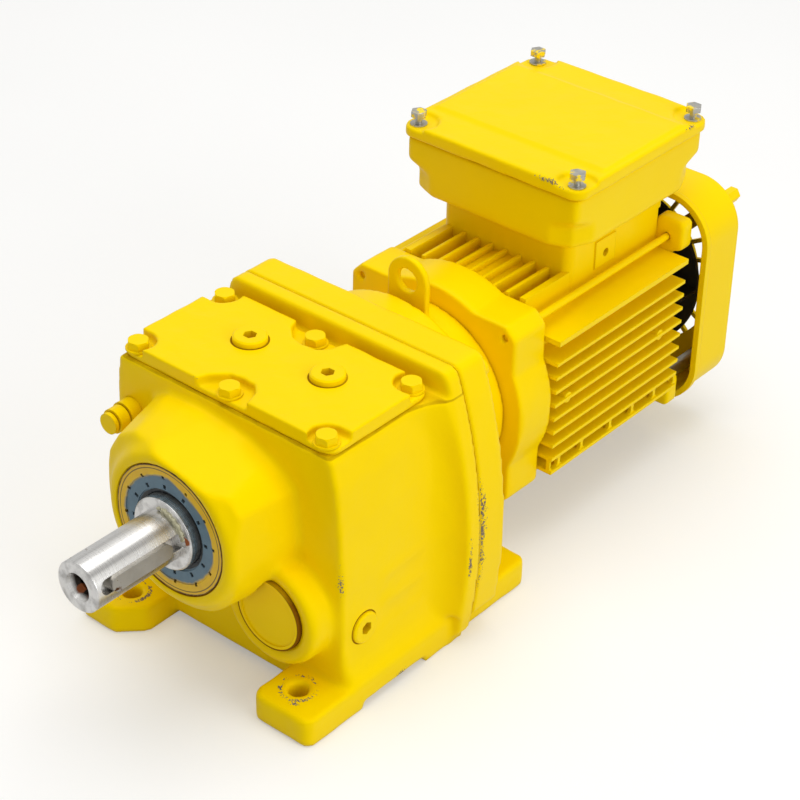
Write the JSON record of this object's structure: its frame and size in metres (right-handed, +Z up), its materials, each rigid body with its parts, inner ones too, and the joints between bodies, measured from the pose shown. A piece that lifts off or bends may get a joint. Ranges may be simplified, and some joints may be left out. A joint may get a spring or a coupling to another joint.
{
  "type": "gear motor",
  "caption": "Foot-mounted in-line spur gear motor: cast gear case with keyed output shaft, adapter, finned motor, fan guard and terminal box, with its gear train inside.",
  "frame": {"origin": "middle of the foot bolt pattern, in the plane the feet stand on", "axes": "+Z up, the output shaft points along -Y and the fan guard along +Y, +X to the side of the level plug"},
  "size_m": [0.23, 0.5995, 0.274],
  "materials": {
    "painted_casting": "glossy signal-yellow enamel over cast iron",
    "painted_aluminium": "glossy yellow enamel over die-cast aluminium",
    "painted_sheet": "glossy yellow enamel over pressed sheet steel",
    "painted_fastener": "yellow overspray on steel fasteners and plugs",
    "ground_shaft": "turned and ground steel",
    "key_steel": "cold drawn key steel, lightly oxidised",
    "gear_steel": "case-hardened, ground flanks, oiled",
    "bearing_steel": "polished bearing steel",
    "zinc_steel": "zinc-plated fasteners",
    "spring_steel": "phosphated spring steel",
    "seal_rubber": "nitrile rubber, satin",
    "gasket_paper": "oil-resistant gasket sheet",
    "foam_rubber": "cellular rubber",
    "copper_winding": "varnished copper wire",
    "core_laminations": "stacked electrical sheet",
    "fan_plastic": "glass-filled polyamide",
    "board_plastic": "moulded thermoset",
    "brass_studs": "turned brass"
  },
  "bodies": {
    "housing": {"gear_case": "painted_casting", "top_cover": "painted_casting", "cover_gasket": "gasket_paper", "cover_bolts": "painted_fastener", "filler_plugs": "painted_fastener", "level_plug": "painted_fastener", "breather": "painted_fastener", "intermediate_cap": "painted_sheet", "output_seal": "seal_rubber", "bore_ring": "spring_steel", "output_outer_rings": "bearing_steel", "intermediate_outer_rings": "bearing_steel", "motor_adapter": "painted_casting", "adapter_gasket": "gasket_paper", "adapter_screws": "zinc_steel", "motor_shaft_seal": "seal_rubber", "lifting_eye": "painted_casting", "drive_end_shield": "painted_aluminium", "shield_screws": "zinc_steel", "stator_housing": "painted_aluminium", "stator_core": "core_laminations", "stator_windings": "copper_winding", "motor_outer_rings": "bearing_steel", "rear_shield": "painted_aluminium", "guard_spacers": "zinc_steel", "fan_guard": "painted_sheet", "tie_rods": "zinc_steel", "rod_nuts": "painted_fastener", "terminal_box": "painted_aluminium", "box_screws": "zinc_steel", "box_gasket": "foam_rubber", "box_lid": "painted_aluminium", "lid_bolts": "zinc_steel", "terminal_board": "board_plastic", "terminal_studs": "brass_studs", "entry_plugs": "painted_fastener", "earth_screw": "brass_studs"},
    "output": {"output_shaft": "ground_shaft", "output_key": "key_steel", "output_wheel": "gear_steel", "wheel_key": "key_steel", "shaft_sleeve": "ground_shaft", "shaft_ring": "spring_steel", "output_inner_rings": "bearing_steel"},
    "output_front_set": {"output_front_balls": "bearing_steel"},
    "output_rear_set": {"output_rear_balls": "bearing_steel"},
    "intermediate": {"pinion_shaft": "gear_steel", "first_wheel": "gear_steel", "first_key": "key_steel", "intermediate_inner_rings": "bearing_steel"},
    "intermediate_set": {"intermediate_balls": "bearing_steel"},
    "rotor": {"rotor_shaft": "ground_shaft", "rotor_core": "core_laminations", "motor_pinion": "gear_steel", "pinion_key": "key_steel", "motor_inner_rings": "bearing_steel", "fan": "fan_plastic"},
    "rotor_set": {"motor_balls": "bearing_steel"}
  },
  "joints": [
    {"name": "output_turn", "type": "hinge", "parent": "housing", "child": "output", "pos_m": [0, -0.1, 0.127], "axis": [0, 1, 0], "continuous": true},
    {"name": "intermediate_turn", "type": "hinge", "parent": "housing", "child": "intermediate", "pos_m": [0.0505, -0.02, 0.06821], "axis": [0, 1, 0], "continuous": true},
    {"name": "rotor_turn", "type": "hinge", "parent": "housing", "child": "rotor", "pos_m": [0, 0.2, 0.113], "axis": [0, 1, 0], "continuous": true},
    {"name": "output_front_bearing", "type": "hinge", "parent": "housing", "child": "output_front_set", "pos_m": [0, -0.0985, 0.127], "axis": [0, 1, 0], "continuous": true},
    {"name": "output_rear_bearing", "type": "hinge", "parent": "housing", "child": "output_rear_set", "pos_m": [0, 0.0165, 0.127], "axis": [0, 1, 0], "continuous": true},
    {"name": "intermediate_bearing", "type": "hinge", "parent": "housing", "child": "intermediate_set", "pos_m": [0.0505, -0.02, 0.06821], "axis": [0, 1, 0], "continuous": true},
    {"name": "rotor_bearing", "type": "hinge", "parent": "housing", "child": "rotor_set", "pos_m": [0, 0.2, 0.113], "axis": [0, 1, 0], "continuous": true}
  ],
  "couplings": [
    {"joint": "intermediate_turn", "follows": "output_turn", "ratio": -2.875},
    {"joint": "rotor_turn", "follows": "output_turn", "ratio": 11.5},
    {"joint": "output_front_bearing", "follows": "output_turn", "ratio": 0.4093},
    {"joint": "output_rear_bearing", "follows": "output_turn", "ratio": 0.3963},
    {"joint": "intermediate_bearing", "follows": "output_turn", "ratio": -1.0582},
    {"joint": "rotor_bearing", "follows": "output_turn", "ratio": 4.5701}
  ]
}
